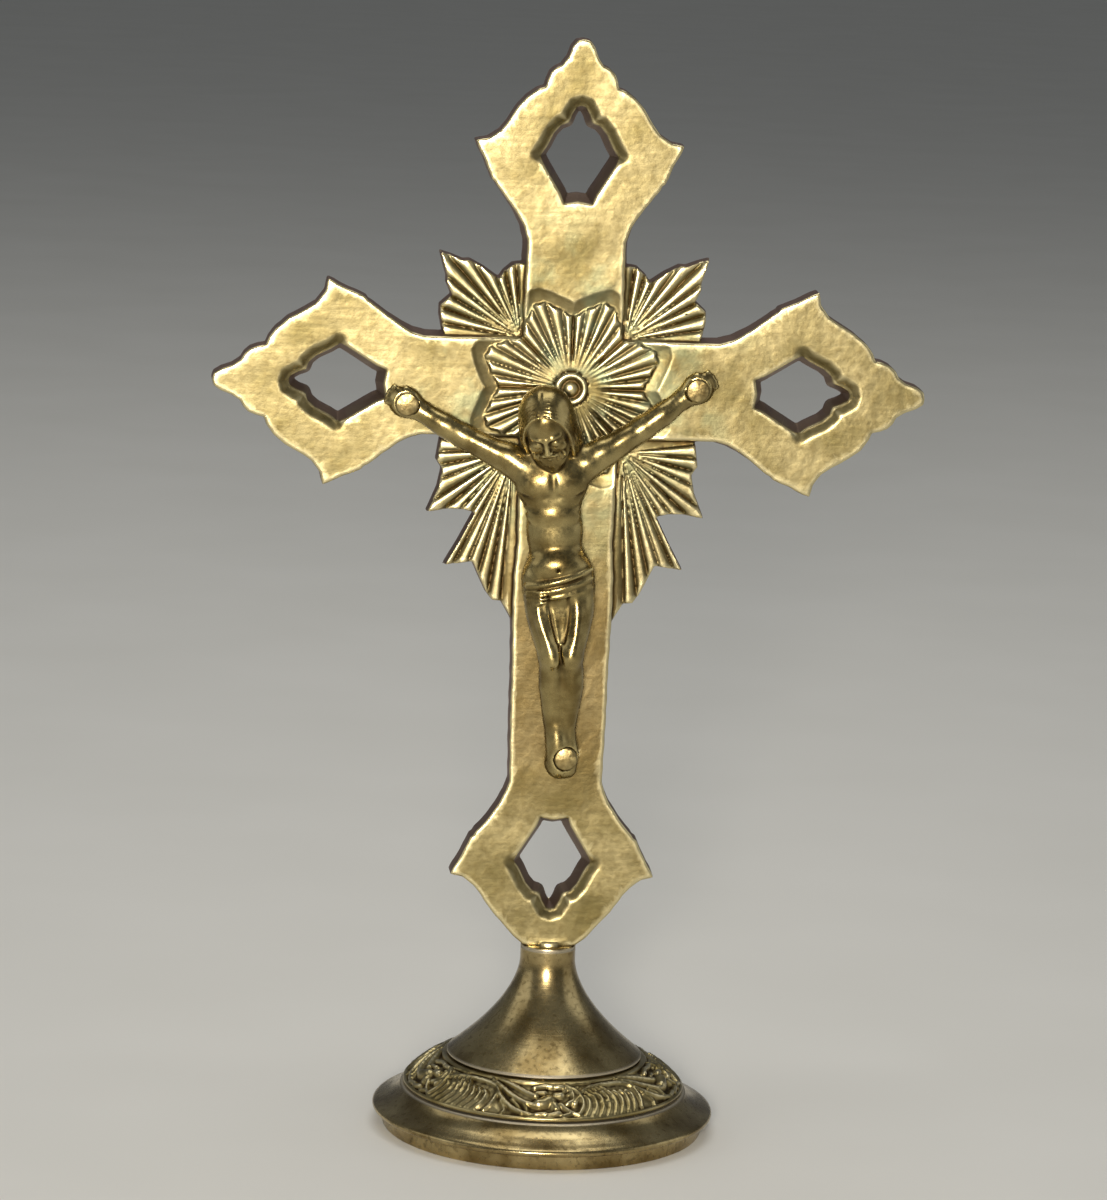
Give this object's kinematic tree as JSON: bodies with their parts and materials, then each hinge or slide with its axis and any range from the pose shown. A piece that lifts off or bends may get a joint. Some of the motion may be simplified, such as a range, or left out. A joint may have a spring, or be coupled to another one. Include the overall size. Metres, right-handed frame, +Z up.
{
  "type": "standing altar cross",
  "caption": "Brass altar cross with pierced trefoil-like ends, ray fans, a riveted figure and a round turned foot.",
  "frame": {"origin": "centre of the foot's resting face", "axes": "+Z up along the cross's height, front of the cross faces -Y, arms along X"},
  "size_m": [0.1236, 0.0602, 0.192],
  "materials": {
    "tarnished_brass": "cast, filed flat and tarnished yellow-olive",
    "corpus_brass": "cast and hand polished, darker in the hollows",
    "rivet_brass": "drawn rod, flat heads",
    "turned_brass": "turned and polished, browned with age",
    "ornament_brass": "cast relief, dark in the recesses",
    "plain_brass": "plain machined fastener"
  },
  "bodies": {
    "root": {"cross_plate": "tarnished_brass", "corpus": "corpus_brass", "rivet_right_hand": "rivet_brass", "rivet_left_hand": "rivet_brass", "rivet_feet": "rivet_brass", "stem": "turned_brass", "ornament_ring": "ornament_brass", "foot_ring": "turned_brass", "tie_stud": "plain_brass", "washer": "plain_brass", "nut": "plain_brass"}
  },
  "joints": []
}
